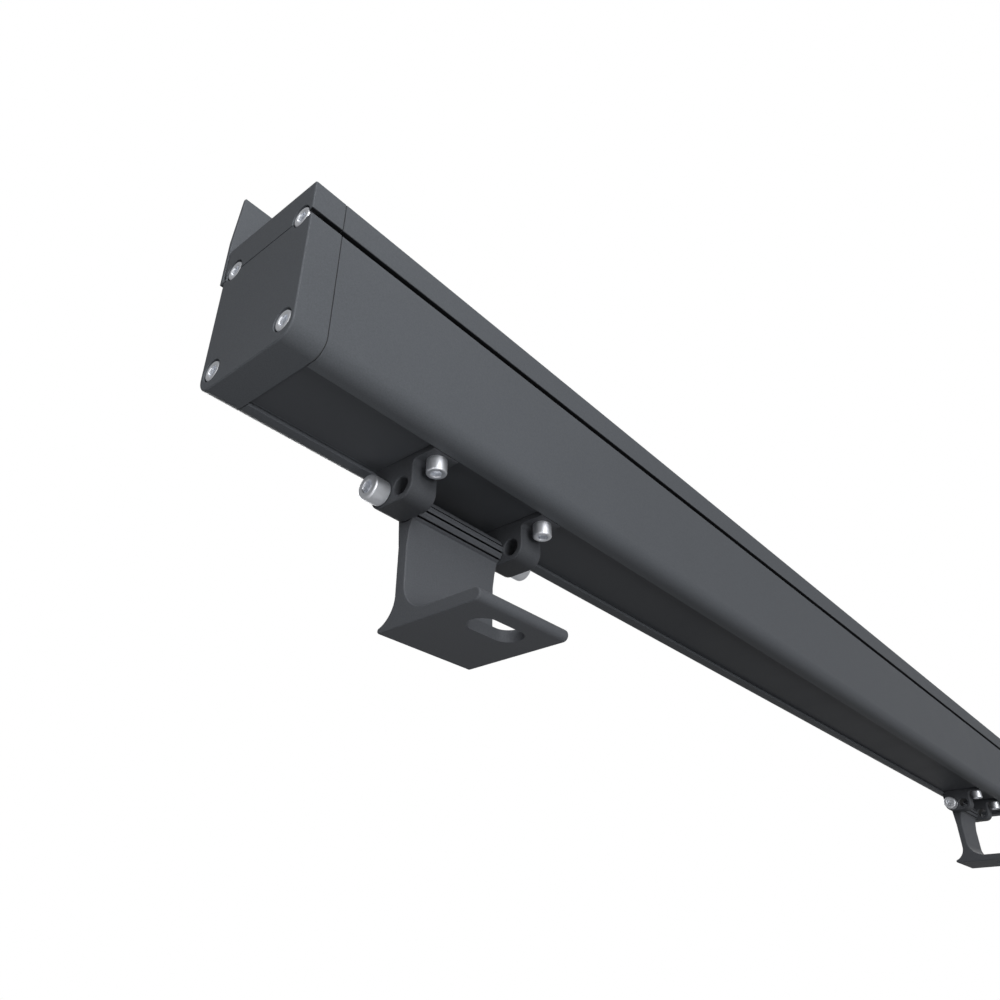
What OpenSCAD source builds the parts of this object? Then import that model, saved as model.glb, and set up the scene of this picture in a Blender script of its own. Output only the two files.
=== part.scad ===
// Outdoor wall washer light on two tilting foot brackets.
// Outlines are drawn across the light: first value from the middle plane towards
// the visor side, second value up from the underside of the housing.

/* [Housing] */
// Length of the light over its two end caps
light_len = 1200; // [900:10:1500]
// Width of the housing from its front side to its visor side
housing_w = 64; // [62:1:76]
// Height of the housing from its underside to its rim
housing_h = 86.8; // [84:0.2:104]
// Radius of the two lower long edges
edge_r = 8.5; // [7:0.5:9.5]
// Radius of the two upper long edges
rim_r = 1; // [0.8:0.1:1.6]
// Thickness of the side walls
wall = 3; // [2.6:0.1:3.4]
// Thickness of the floor above the mounting channel
floor_t = 4; // [3:0.5:5]
// Height of the groove along each side
groove_h = 3.6; // [3:0.1:4.4]
// Depth of the groove along each side
groove_d = 3; // [2.6:0.1:3.2]
// Distance from the rim down to the top of the side groove
groove_drop = 16.8; // [15.6:0.2:18.2]
// Thickness of the shelf that carries the LED boards
shelf_t = 3; // [2:0.5:4]
// Distance from the rim down to the top of the shelf
shelf_drop = 28.8; // [27.8:0.2:30]

/* [End caps] */
// Thickness of an end cap along the light
cap_t = 16.6; // [15:0.2:20]
// Thickness of the outer wall of an end cap
cap_face_t = 4; // [3.4:0.2:5]
// Thickness of the flat gasket under each end cap
cap_seal_t = 0.8; // [0.6:0.1:1.4]
// How far the gasket stays back from the outline
cap_seal_inset = 0.5; // [0.3:0.1:0.7]
// Distance of the cap screws from the side faces
port_in = 7.8; // [7.6:0.1:8.4]
// Height of the lower cap screws above the underside
port_low_z = 10.4; // [9.6:0.2:11.4]
// Distance of the upper cap screws below the rim
port_drop = 17.1; // [16.6:0.1:17.6]
// Outer radius of a screw port in the housing
port_r = 5.2; // [4.8:0.1:5.2]
// Radius of the recess round a cap screw head
recess_r = 5.65; // [5.4:0.05:6]
// How far a cap screw head lies below the cap face
head_sink = 0.3; // [0.1:0.1:1]
// Height of the slit across an end cap
slit_h = 0.7; // [0.5:0.1:1.6]
// Depth of the slit across an end cap
slit_d = 2.2; // [1:0.2:2.8]
// Distance of the slit below the upper cap screws
slit_drop = 2.2; // [1.8:0.1:2.6]

/* [Screws] */
// Radius of the main screws
screw_r = 3; // [2.8:0.05:3]
// Radius of a main screw head
head_r = 5; // [4.6:0.1:5.1]
// Height of a main screw head
head_h = 6; // [5:0.5:7]
// Bevel round a screw head
head_bevel = 0.5; // [0.3:0.1:0.8]
// Key size of the hexagon socket, flat to flat
socket_af = 5; // [4:0.5:5]
// Depth of the hexagon socket
socket_d = 3; // [2:0.5:4]
// Thickness of a spring washer
washer_t = 1.6; // [1.2:0.1:2]
// Outer radius of a spring washer
washer_r = 4.95; // [4.5:0.05:5]
// Length of a cap screw under its head
cap_screw_len = 25; // [20:1:40]
// Length of a lug screw under its head
lug_screw_len = 14; // [12:1:15]

/* [Cover glass] */
// Thickness of the cover glass
glass_t = 5; // [4:0.5:6]
// How far the glass lies below the rim
glass_sink = 0.5; // [0.2:0.1:1]
// Thickness of the seal under the glass
glass_seal_t = 1; // [0.6:0.1:1.5]
// Width of the ledge under the glass
ledge_w = 5; // [4:0.5:6]
// Thickness of the ledge under the glass
ledge_t = 3; // [2:0.5:3]

/* [Visor] */
// Thickness of the visor sheet
visor_t = 2.1; // [1.6:0.1:2.6]
// Distance between the visor and the housing
visor_gap = 0.8; // [0.5:0.1:1.2]
// Height of the upright part above the foot of the visor
visor_rise = 28.2; // [22:0.2:34]
// Height of the leaning part of the visor
visor_lean_h = 27.3; // [20:0.1:50]
// Lean of the upper part towards the light opening, in degrees
visor_lean = 8.75; // [0:0.25:20]
// Thickness of the hooked foot of the visor
visor_foot_t = 1.4; // [1:0.1:1.6]
// Thickness of the upturned lip of the visor foot
visor_lip_t = 1.2; // [0.8:0.1:1.4]

/* [Lugs] */
// Width of the mounting channel in the underside
channel_w = 39.3; // [38:0.1:40.5]
// Depth of the mounting channel
channel_d = 2.8; // [2.4:0.1:3.4]
// Thickness of the channel lip over the lug tongue
lip_t = 1.3; // [1:0.1:1.5]
// Depth of the undercut that takes the lug tongue
hook_d = 1.5; // [1:0.1:2]
// Length of a lug along the light
lug_t = 16.6; // [14:0.2:20]
// How far the lug flange stands below the underside
flange_stand = 0.5; // [0.3:0.1:1.5]
// Radius of the boss round each lug hole
lug_r = 7.7; // [7:0.1:8.5]
// Distance between the two holes of a lug
hole_gap = 12.5; // [11:0.5:13]
// Radius of the holes in a lug
lug_hole_r = 4.6; // [4.5:0.1:5]
// Radius of the fillet between flange and boss
lug_fillet = 2.5; // [1:0.5:2.5]
// Distance of the lug screw in front of the middle plane
lug_screw_front = 13.2; // [12.8:0.1:13.6]

/* [Pivot] */
// Distance of the pivot axis below the underside
pivot_drop = 12; // [11.4:0.2:16]
// Distance of the pivot axis behind the middle plane
pivot_back = 14.5; // [13.5:0.5:15.5]
// Height of the pivot axis above the mounting surface
pivot_h = 62; // [60:1:90]
// Gap between a bracket and the lug beside it
pivot_side_gap = 0.4; // [0.3:0.1:0.6]
// Radius of the pivot screws
pivot_screw_r = 4; // [3.6:0.1:4]
// Radius of a pivot screw head
pivot_head_r = 6.5; // [6:0.1:6.6]
// Height of a pivot screw head
pivot_head_h = 8; // [6:0.5:9]
// Key size of a pivot screw's socket, flat to flat
pivot_socket_af = 6; // [5:0.5:6.5]
// Depth of a pivot screw's socket
pivot_socket_d = 4; // [3:0.5:5]
// Length of a pivot screw under its head
pivot_screw_len = 40; // [30:1:46]
// Thickness of the washer under a pivot screw head
pivot_washer_t = 0.6; // [0.5:0.1:1]
// Outer radius of the washer under a pivot screw head
pivot_washer_r = 6.35; // [6:0.05:6.5]
// Thickness of the friction disc beside a lug
disc_t = 0.5; // [0.5:0.1:1]

/* [Foot brackets] */
// Width of a foot bracket along the light
bracket_w = 63.4; // [60:0.2:100]
// Distance from the end of the light to the middle of the bracket
bracket_from_end = 140.5; // [110:0.5:200]
// Radius of the bracket knuckle
knuckle_r = 7.9; // [7.4:0.1:8.4]
// Width of the deep grooves in the knuckle
rib_groove_w = 1; // [0.6:0.1:1.2]
// Depth of the deep grooves in the knuckle
rib_groove_d = 1.7; // [0.8:0.1:1.8]
// Thickness of the web
web_t = 6; // [5:0.2:7]
// Distance of the web face in front of the pivot axis
web_front = 1.3; // [0.9:0.1:1.8]
// Radius of the two bends between web and foot
bend_r = 15; // [13:0.5:17]
// Thickness of the foot plate
foot_t = 6.3; // [5:0.1:8]
// Distance from the pivot axis to the front end of the foot
foot_reach = 48.5; // [46:0.5:60]
// Radius of the rounded toe behind the web
toe_r = 1.5; // [1.3:0.1:2.5]
// Height of the toe's hollow above the foot
toe_lift = 1.7; // [1:0.1:2.5]
// Width of the slot in the foot
slot_w = 15; // [9:0.5:16]
// Length of the slot in the foot along the light
slot_len = 33; // [25:0.5:40]
// Distance of the slot in front of the pivot axis
slot_ahead = 30.3; // [28:0.1:32]

/* [LED line] */
// Width of an LED board
board_w = 37; // [34:0.5:37]
// Thickness of an LED board
board_t = 1.6; // [1:0.1:2]
// Gap between two LED boards
board_gap = 1; // [0.5:0.5:3]
// Distance from one LED to the next
led_pitch = 29; // [26.5:0.5:36]
// Width of an LED package
led_w = 3.5; // [2.5:0.1:4]
// Radius of a lens at its mouth
lens_r = 12.5; // [10:0.5:13]
// Height of a lens
lens_h = 12; // [9:0.5:13]
// Bare length left at each end of a board
board_end = 8; // [7.5:0.5:10]

/* [Gear] */
// Height of the gear tray above the underside
tray_z = 18.5; // [18.2:0.1:20]
// Thickness of the gear tray
tray_t = 1.5; // [1:0.1:2]
// Length of a driver case
driver_len = 180; // [140:5:200]
// Width of a driver case
driver_w = 40; // [30:1:42]
// Height of a driver case
driver_h = 28; // [22:1:30]
// Distance of each driver from the middle of the light
driver_off = 280; // [230:5:290]
// Distance of the terminal block from the end of the light
terminal_in = 78; // [68:1:90]

/* [Cable entry] */
// Radius of the cable that the gland takes
cable_r = 4.5; // [3.5:0.1:5.2]
// Height of the gland above the underside
gland_z = 28; // [26:0.5:29]
// Key size of the gland, flat to flat
gland_af = 24; // [22:0.5:25]
// Height of the vent plug above the underside
vent_z = 54; // [53:0.5:55]

/* [Hidden] */
$fn = 64;
// How far a cut runs past the faces that it goes through
overrun = 1;
// Gap between a screw and the thread that it is driven into
thread_fit = 0.05;
// Gap between a screw and the plain hole that it passes through
hole_fit = 0.3;
// Gap between a sliding piece and its guide
slide_fit = 0.1;
// Gap round the pivot screw inside its sleeve, and round the sleeve in its lug
sleeve_run = 0.06;
sleeve_fit = 0.05;
// Gap between a lug and the friction disc beside it
disc_gap = 0.3;
// Gap between the glass and the walls round it
glass_fit = 0.25;
// Hexagon corner radius for a size across flats of one
hex_share = 1 / sqrt(3);
tip_bevel = head_bevel;
// Top radius of a pan head, and its key, as shares of the head and of the screw
pan_taper_share = 0.8;

// Housing levels and widths
half_w = housing_w / 2;
cavity_half = half_w - wall;
floor_top = channel_d + floor_t;
shelf_top = housing_h - shelf_drop;
groove_top = housing_h - groove_drop;
groove_low = groove_top - groove_h;
glass_low = housing_h - glass_sink - glass_t;
ledge_top = glass_low - glass_seal_t;
opening_half = cavity_half - ledge_w;
body_len = light_len - 2 * (cap_t + cap_seal_t);
port_y = half_w - port_in;
port_high_z = housing_h - port_drop;
PORTS = [for (side = [-1, 1], z = [port_low_z, port_high_z]) [side * port_y, z]];
port_bore_r = screw_r + thread_fit;
// Rib on the floor that takes the lug screws
rib_w = 10;
rib_top = port_low_z + port_r;
rib_cover = 2;
// Rails that hold the edges of the gear tray
rail_w = 3.5;
rail_t = 1.5;
tray_top = tray_z + tray_t;
tray_half = cavity_half - 2 * slide_fit;
tray_end_gap = 0.5;

// Visor outline
visor_in = half_w + visor_gap;
visor_out = visor_in + visor_t;
visor_low = groove_low + thread_fit;
visor_bend_z = visor_low + visor_rise;
visor_top = visor_bend_z + visor_lean_h;
visor_lean_in = visor_lean_h * tan(visor_lean);
visor_tip_in = half_w - groove_d + 2 * slide_fit + hole_fit;

// Lug places: each is the middle of a lug, measured from the middle of the light
bracket_x = light_len / 2 - bracket_from_end;
lug_off = bracket_w / 2 + pivot_side_gap + lug_t / 2;
LUGS = [-bracket_x - lug_off, -bracket_x + lug_off, bracket_x - lug_off, bracket_x + lug_off];
channel_half = channel_w / 2;
sleeve_r = lug_hole_r - sleeve_fit;
disc_r = pivot_washer_r + slide_fit;
// Where the head of a pivot screw starts, from the middle of the bracket
pivot_seat = lug_off + lug_t / 2 + disc_gap + disc_t + pivot_washer_t;

// Bracket outline, measured from the pivot axis
web_back = web_t - web_front;
foot_low = -pivot_h;
foot_top = foot_low + foot_t;
toe_arc = [web_back + bend_r, foot_low + bend_r + toe_lift];
toe_top = foot_low + 2 * toe_r;
toe_y = toe_arc.x - sqrt(pow(bend_r, 2) - pow(toe_arc.y - toe_top, 2));
// Neck between knuckle and web: angles where it leaves the knuckle
neck_front_angle = 242;
neck_back_angle = 315;
neck_len = 20.6;
neck_mid_share = 0.63;
neck_swell = 0.9;
neck_root_share = 0.15;
neck_front = [-web_front - neck_swell, -neck_len * neck_mid_share];
neck_back = [web_back + neck_swell / 2, -neck_len * neck_mid_share];
// Knuckle grooves: first angle, step and number of the deep ones
rib_angle = -15;
rib_step = 30;
rib_count = 9;
fine_groove_w = 0.3;
fine_groove_d = 0.15;

// LED line
board_count = 4;
board_step = body_len / board_count;
board_len = board_step - board_gap;
board_top = shelf_top + board_t;
leds_per_board = floor((board_len - 2 * board_end) / led_pitch);
led_h = 0.9;
led_dome_r = 1.4;
strip_len = board_len - 2 * board_end;
strip_margin = 1;
strip_half = board_w / 2 - strip_margin;
strip_rail_t = 1.5;
strip_plate_rise = 3.2;
strip_plate_z = board_top + strip_plate_rise;
strip_plate_t = 1.6;
lens_rise = 1.2;
lens_low = board_top + lens_rise;
lens_low_r = 7;
lens_cup_r = 3;
lens_cup_d = 3.6;
board_screw_y = 12;
board_screw_in = 4;
small_screw_r = 1.5;
small_head_r = 2.8;
small_head_h = 1.8;
board_screw_grip = 2.2;
board_screw_len = board_t + board_screw_grip;
link_w = 6;
link_len = 12;
link_h = 2.5;
BOARD_X = [for (i = [0 : board_count - 1]) (i + 0.5) * board_step - body_len / 2];
LED_X = [for (i = [0 : leds_per_board - 1]) (i + 0.5 - leds_per_board / 2) * led_pitch];
BOARD_SCREWS = [
    for (x = BOARD_X, side = [-1, 1], y = [-board_screw_y, board_screw_y])
        [x + side * (board_len / 2 - board_screw_in), y]
];

// Gear
ear_len = 10;
ear_t = 2;
gear_screw_r = 2;
gear_head_r = 3.8;
gear_head_h = 2.4;
gear_screw_grip = 4;
gear_screw_len = ear_t + gear_screw_grip;
terminal_len = 30;
terminal_w = 26;
terminal_h = 18;
terminal_step_h = 11;
terminal_pole_gap = 8;
terminal_x = light_len / 2 - terminal_in;
terminal_face_x = terminal_x - terminal_len / 2;
lead_r = 0.9;
lead_step = 2.6;
lead_rise = 8;
lead_z = tray_top + lead_rise;
lead_bend = 16;
lead_side_y = (driver_w / 2 + cavity_half) / 2;
led_lead_rise = 14;
led_lead_z = tray_top + led_lead_rise;
led_lead_run = 15;
led_lead_hole_r = 3.5;
driver_face = driver_len / 2;
led_lead_x = driver_off + driver_face + led_lead_run;
GEAR_SCREWS = [for (x = [-driver_off, driver_off], side = [-1, 1]) x + side * (driver_face + ear_len / 2)];
// Ring terminal of the earth lead
earth_ring_r = 4;
earth_ring_t = 0.8;
earth_y = terminal_pole_gap;
earth_run = 17;
earth_tab = 6;
earth_screw_x = terminal_face_x - earth_run - earth_tab;

// Cable gland and vent plug in the far end cap, depths counted inwards
gland_flange_t = 6;
gland_neck_t = 9;
gland_neck_r = 8.7;
gland_thread_r = 9.9;
gland_bore_r = 6.5;
gland_lock_t = 5;
gland_cap_t = 14;
gland_mouth_t = 3.5;
gland_cap_bore_r = gland_neck_r + thread_fit;
gland_start = gland_flange_t + hole_fit;
gland_reach = gland_start + gland_cap_t;
seal_len = 12;
seal_r = gland_bore_r - thread_fit;
vent_thread_r = 5.9;
vent_af = 16;
vent_head_t = 5;
vent_nut_t = 4;
vent_bore_r = 2;
nut_tail = 1.5;

// The frame's origin: under the middle of the whole object, on the mounting surface
middle_x = gland_reach / 2;
middle_y = (visor_out + pivot_back - foot_reach) / 2;
stand_h = pivot_h + pivot_drop;

// Draws its children in the frame of the whole object
module placed() {
    translate([-middle_x, -middle_y, stand_h]) children();
}

// Extrudes an outline along the light between two places
module along(start, end) {
    translate([start, 0, 0]) rotate([90, 0, 90]) linear_extrude(end - start) children();
}

// Puts pieces at an end of the light: their x then runs inwards from the end face
module at_near_end() {
    translate([-light_len / 2, 0, 0]) children();
}

module at_far_end() {
    mirror([1, 0, 0]) at_near_end() children();
}

// Turns a piece that points up so that it points along the light
module lying() {
    rotate([0, 90, 0]) children();
}

// A socket head screw that points up, its head below zero
module socket_screw(shank_r, shank_len, wide_r, high, flats, deep) {
    difference() {
        union() {
            translate([0, 0, -high]) cylinder(h = head_bevel, r1 = wide_r - head_bevel, r2 = wide_r);
            translate([0, 0, head_bevel - high]) cylinder(h = high - head_bevel, r = wide_r);
            cylinder(h = shank_len - tip_bevel, r = shank_r);
            translate([0, 0, shank_len - tip_bevel])
                cylinder(h = tip_bevel, r1 = shank_r, r2 = shank_r - tip_bevel);
        }
        translate([0, 0, -high - overrun]) cylinder(h = deep + overrun, r = flats * hex_share, $fn = 6);
    }
}

module main_screw(shank_len) {
    socket_screw(screw_r, shank_len, head_r, head_h, socket_af, socket_d);
}

// A small pan head screw that points down, its head above zero
module pan_screw(radius, shank_len, pan_r, pan_h) {
    difference() {
        union() {
            cylinder(h = pan_h, r1 = pan_r, r2 = pan_r * pan_taper_share);
            translate([0, 0, -shank_len]) cylinder(h = shank_len, r = radius);
        }
        translate([0, 0, pan_h / 2]) cylinder(h = pan_h, r = radius * pan_taper_share, $fn = 6);
    }
}

module ring(outer_r, inner_r, height) {
    difference() {
        cylinder(h = height, r = outer_r);
        translate([0, 0, -overrun]) cylinder(h = height + 2 * overrun, r = inner_r);
    }
}

// A hexagon bar that points up, with a round bore
module hex_ring(flats, inner_r, height) {
    difference() {
        cylinder(h = height, r = flats * hex_share, $fn = 6);
        translate([0, 0, -overrun]) cylinder(h = height + 2 * overrun, r = inner_r);
    }
}

// A wire through a list of points, with round corners
module wire(points, radius) {
    for (i = [1 : len(points) - 1]) {
        step = points[i] - points[i - 1];
        reach = norm(step);
        translate(points[i - 1]) rotate([0, acos(step.z / reach), atan2(step.y, step.x)])
            cylinder(h = reach, r = radius);
        if (i < len(points) - 1) translate(points[i]) sphere(r = radius);
    }
}

// Outline of the housing and of the end caps, drawn in by a margin
module body_outline(inset) {
    half = half_w - inset;
    high = housing_h - inset;
    low_r = edge_r - inset;
    high_r = rim_r - inset;
    translate([-half, inset + low_r]) square([2 * half, high - inset - low_r - high_r]);
    translate([low_r - half, inset]) square([2 * (half - low_r), high - inset - high_r]);
    translate([high_r - half, inset + low_r]) square([2 * (half - high_r), high - inset - low_r]);
    for (side = [-1, 1]) {
        translate([side * (half - low_r), inset + low_r]) circle(r = low_r);
        translate([side * (half - high_r), high - high_r]) circle(r = high_r);
    }
}

// The same rectangle on both sides of the middle plane
module both_sides(inner, outer, low, high) {
    translate([inner, low]) square([outer - inner, high - low]);
    translate([-outer, low]) square([outer - inner, high - low]);
}

// A rectangle across the middle plane between two levels
module band(half, low, high) {
    translate([-half, low]) square([2 * half, high - low]);
}

module side_grooves(margin) {
    both_sides(half_w - groove_d - margin, half_w + overrun, groove_low - margin, groove_top + margin);
}

// Walls that stay behind the side grooves
module groove_backs() {
    both_sides(half_w - groove_d - wall, half_w - groove_d / 2, groove_low - wall, groove_top + wall);
}

module port_discs(radius) {
    for (at = PORTS) translate(at) circle(r = radius);
}

module tray_rails() {
    for (low = [tray_z - slide_fit - rail_t, tray_top + slide_fit])
        both_sides(cavity_half - rail_w, cavity_half + overrun, low, low + rail_t);
}

// Mounting channel with the undercut for the tongues of the lugs
module channel() {
    band(channel_half, -overrun, channel_d);
    translate([0, lip_t]) square([channel_half + hook_d, channel_d - lip_t]);
}

module housing_outline() {
    difference() {
        union() {
            difference() {
                body_outline(0);
                band(cavity_half, floor_top, shelf_top - shelf_t);
                band(cavity_half, shelf_top, ledge_top - ledge_t);
                band(opening_half, shelf_top, ledge_top + overrun);
                band(cavity_half, ledge_top, housing_h + overrun);
            }
            groove_backs();
            port_discs(port_r);
            tray_rails();
            translate([-lug_screw_front - rib_w / 2, floor_top - floor_t / 2])
                square([rib_w, rib_top - floor_top + floor_t / 2]);
        }
        side_grooves(0);
        channel();
        port_discs(port_bore_r);
    }
}

module housing() {
    color("#5b5e63") difference() {
        along(-body_len / 2, body_len / 2) housing_outline();
        for (x = LUGS) translate([x, -lug_screw_front, channel_d - overrun])
            cylinder(h = rib_top - rib_cover - channel_d + overrun, r = screw_r + thread_fit);
        for (at = BOARD_SCREWS) translate([at.x, at.y, shelf_top - shelf_t - overrun])
            cylinder(h = shelf_t + 2 * overrun, r = small_screw_r + thread_fit);
        for (side = [-1, 1]) translate([side * led_lead_x, 0, shelf_top - shelf_t - overrun])
            cylinder(h = shelf_t + 2 * overrun, r = led_lead_hole_r);
    }
}

// End cap at the near end: x runs inwards from its outer face
module end_cap() {
    difference() {
        along(0, cap_t) difference() {
            body_outline(0);
            side_grooves(0);
        }
        along(cap_face_t, cap_t + overrun) difference() {
            band(cavity_half, floor_top, ledge_top - ledge_t);
            groove_backs();
            port_discs(recess_r + wall / 2);
        }
        along(-overrun, head_h + head_sink) port_discs(recess_r);
        along(-overrun, cap_t + overrun) port_discs(screw_r + hole_fit);
        along(-overrun, slit_d) band(port_y, port_high_z - slit_drop - slit_h / 2,
            port_high_z - slit_drop + slit_h / 2);
    }
}

module near_end_cap() {
    color("#5b5e63") at_near_end() end_cap();
}

module far_end_cap() {
    color("#5b5e63") at_far_end() difference() {
        end_cap();
        translate([-overrun, 0, gland_z]) lying()
            cylinder(h = cap_face_t + 2 * overrun, r = gland_thread_r + slide_fit);
        translate([-overrun, 0, vent_z]) lying()
            cylinder(h = cap_face_t + 2 * overrun, r = vent_thread_r + slide_fit);
    }
}

// Flat gasket between an end cap and the housing
module cap_gasket() {
    along(cap_t, cap_t + cap_seal_t) difference() {
        union() {
            difference() {
                body_outline(cap_seal_inset);
                band(cavity_half, floor_top, ledge_top - ledge_t);
            }
            port_discs(port_r);
        }
        side_grooves(cap_seal_inset);
        band(channel_half + hook_d, -overrun, channel_d + cap_seal_inset);
        port_discs(screw_r + hole_fit);
    }
}

module near_cap_gasket() {
    color("#1c1c1c") at_near_end() cap_gasket();
}

module far_cap_gasket() {
    color("#1c1c1c") at_far_end() cap_gasket();
}

module cap_screws() {
    for (at = PORTS) translate([head_h + head_sink, at.x, at.y]) lying() main_screw(cap_screw_len);
}

module near_cap_screws() {
    color("#c9ccd0") at_near_end() cap_screws();
}

module far_cap_screws() {
    color("#c9ccd0") at_far_end() cap_screws();
}

module cover_glass() {
    color("#dfe8ea") along(glass_fit - body_len / 2, body_len / 2 - glass_fit)
        band(cavity_half - glass_fit, glass_low, glass_low + glass_t);
}

module glass_gasket() {
    long = body_len - 2 * glass_fit;
    wide = 2 * (cavity_half - glass_fit);
    color("#1c1c1c") translate([0, 0, ledge_top]) linear_extrude(glass_seal_t) difference() {
        square([long, wide], center = true);
        square([long - 2 * ledge_w, 2 * opening_half], center = true);
    }
}

// Glare shield hooked into the groove on the back, over the whole length
module visor() {
    color("#606368") along(-light_len / 2, light_len / 2) {
        polygon([
            [visor_in, visor_low],
            [visor_out, visor_low],
            [visor_out, visor_bend_z],
            [visor_out - visor_lean_in, visor_top],
            [visor_in - visor_lean_in, visor_top],
            [visor_in, visor_bend_z],
        ]);
        translate([visor_tip_in, visor_low]) square([visor_out - visor_tip_in, visor_foot_t]);
        translate([visor_tip_in, visor_low]) square([visor_lip_t, groove_h - 2 * thread_fit]);
    }
}

// Cast lug: flange and tongue in the channel, boss with two holes below it
module lug_outline() {
    flange_half = channel_half - slide_fit;
    front_y = pivot_back - hole_gap;
    band(flange_half, -flange_stand, channel_d);
    translate([0, lip_t + slide_fit])
        square([flange_half + hook_d, channel_d - lip_t - slide_fit]);
    translate([front_y - lug_r, -pivot_drop])
        square([hole_gap + 2 * lug_r, pivot_drop - flange_stand]);
    translate([front_y, -pivot_drop - lug_r]) square([hole_gap, lug_r + overrun]);
    for (y = [front_y, pivot_back]) translate([y, -pivot_drop]) circle(r = lug_r);
    translate([front_y - lug_r - lug_fillet, -flange_stand - lug_fillet]) difference() {
        square([lug_fillet + overrun, lug_fillet + flange_stand]);
        circle(r = lug_fillet);
    }
}

module lug(x) {
    translate([x, 0, 0]) difference() {
        along(-lug_t / 2, lug_t / 2) difference() {
            lug_outline();
            for (y = [pivot_back - hole_gap, pivot_back])
                translate([y, -pivot_drop]) circle(r = lug_hole_r);
        }
        translate([0, -lug_screw_front, -flange_stand - overrun])
            cylinder(h = channel_d + flange_stand + 2 * overrun, r = screw_r + hole_fit);
    }
}

module near_outer_lug() {
    color("#56595e") lug(LUGS[0]);
}

module near_inner_lug() {
    color("#56595e") lug(LUGS[1]);
}

module far_inner_lug() {
    color("#56595e") lug(LUGS[2]);
}

module far_outer_lug() {
    color("#56595e") lug(LUGS[3]);
}

module lug_screws() {
    color("#c9ccd0") for (x = LUGS) translate([x, -lug_screw_front, -flange_stand - washer_t])
        main_screw(lug_screw_len);
}

module lug_washers() {
    color("#b4b7bb") for (x = LUGS) translate([x, -lug_screw_front, -flange_stand - washer_t])
        ring(washer_r, screw_r + slide_fit, washer_t);
}

// Sleeves in the outer holes of the lugs, which turn on the pivot screws
module pivot_sleeves() {
    color("#d8d4c4") for (x = LUGS) translate([x - lug_t / 2, pivot_back, -pivot_drop]) lying()
        ring(sleeve_r, pivot_screw_r + sleeve_run, lug_t);
}

// Round knuckle with its lengthwise grooves, about the pivot axis
module knuckle_outline() {
    difference() {
        circle(r = knuckle_r);
        for (i = [0 : rib_count - 1]) rotate(rib_angle + i * rib_step)
            translate([knuckle_r - rib_groove_d, -rib_groove_w / 2])
                square([rib_groove_d + overrun, rib_groove_w]);
        for (i = [0 : rib_count - 2]) rotate(rib_angle + (i + 0.5) * rib_step)
            translate([knuckle_r - fine_groove_d, -fine_groove_w / 2])
                square([fine_groove_d + overrun, fine_groove_w]);
    }
}

// Start of the neck, a little inside the knuckle, in line with where it leaves it
function neck_root(angle, below) =
    knuckle_r * [cos(angle), sin(angle)] * (1 + neck_root_share) - below * neck_root_share;

// Web, bends and foot of a bracket, about the pivot axis
module bracket_outline() {
    knuckle_outline();
    polygon([
        neck_root(neck_front_angle, neck_front),
        neck_front,
        [-web_front, -neck_len],
        [-web_front, foot_low + foot_t / 2],
        [web_back, foot_low + foot_t / 2],
        [web_back, -neck_len],
        neck_back,
        neck_root(neck_back_angle, neck_back),
    ]);
    difference() {
        translate([-web_front - bend_r, foot_top - foot_t / 2])
            square([bend_r + web_front, bend_r + foot_t / 2]);
        translate([-web_front - bend_r, foot_top + bend_r]) circle(r = bend_r);
    }
    translate([foot_t / 2 - foot_reach, foot_low]) square([foot_reach - foot_t / 2, foot_t]);
    translate([foot_t / 2 - foot_reach, foot_low + foot_t / 2]) circle(r = foot_t / 2);
    difference() {
        polygon([[-web_front, foot_low], [toe_y, foot_low], [toe_y, toe_top],
            [web_back, toe_arc.y], [-web_front, toe_arc.y]]);
        translate(toe_arc) circle(r = bend_r);
    }
    translate([toe_y, foot_low + toe_r]) circle(r = toe_r);
}

module bracket(x) {
    slot_half = (slot_len - slot_w) / 2;
    translate([x, pivot_back, -pivot_drop]) difference() {
        along(-bracket_w / 2, bracket_w / 2) difference() {
            bracket_outline();
            circle(r = pivot_screw_r + thread_fit);
        }
        translate([0, -slot_ahead, foot_low - overrun]) {
            for (side = [-1, 1]) translate([side * slot_half, 0, 0])
                cylinder(h = foot_t + 2 * overrun, r = slot_w / 2);
            translate([-slot_half, -slot_w / 2, 0]) cube([2 * slot_half, slot_w, foot_t + 2 * overrun]);
        }
    }
}

module near_bracket() {
    color("#505358") bracket(-bracket_x);
}

module far_bracket() {
    color("#505358") bracket(bracket_x);
}

// Puts pieces on the pivot axis on both sides of a bracket: z runs outwards
module at_pivots(x) {
    for (side = [0, 1]) translate([x, pivot_back, -pivot_drop]) rotate([0, 90, side * 180]) children();
}

module pivot_screws(x) {
    at_pivots(x) translate([0, 0, pivot_seat]) mirror([0, 0, 1])
        socket_screw(pivot_screw_r, pivot_screw_len, pivot_head_r, pivot_head_h, pivot_socket_af, pivot_socket_d);
}

module near_pivot_screws() {
    color("#c9ccd0") pivot_screws(-bracket_x);
}

module far_pivot_screws() {
    color("#c9ccd0") pivot_screws(bracket_x);
}

module pivot_washers(x) {
    at_pivots(x) translate([0, 0, pivot_seat - pivot_washer_t])
        ring(pivot_washer_r, pivot_screw_r + slide_fit, pivot_washer_t);
}

module near_pivot_washers() {
    color("#b4b7bb") pivot_washers(-bracket_x);
}

module far_pivot_washers() {
    color("#b4b7bb") pivot_washers(bracket_x);
}

module friction_discs(x) {
    at_pivots(x) translate([0, 0, pivot_seat - pivot_washer_t - disc_t])
        ring(disc_r, pivot_screw_r + slide_fit, disc_t);
}

module near_friction_discs() {
    color("#c2c4c6") friction_discs(-bracket_x);
}

module far_friction_discs() {
    color("#c2c4c6") friction_discs(bracket_x);
}

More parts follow.
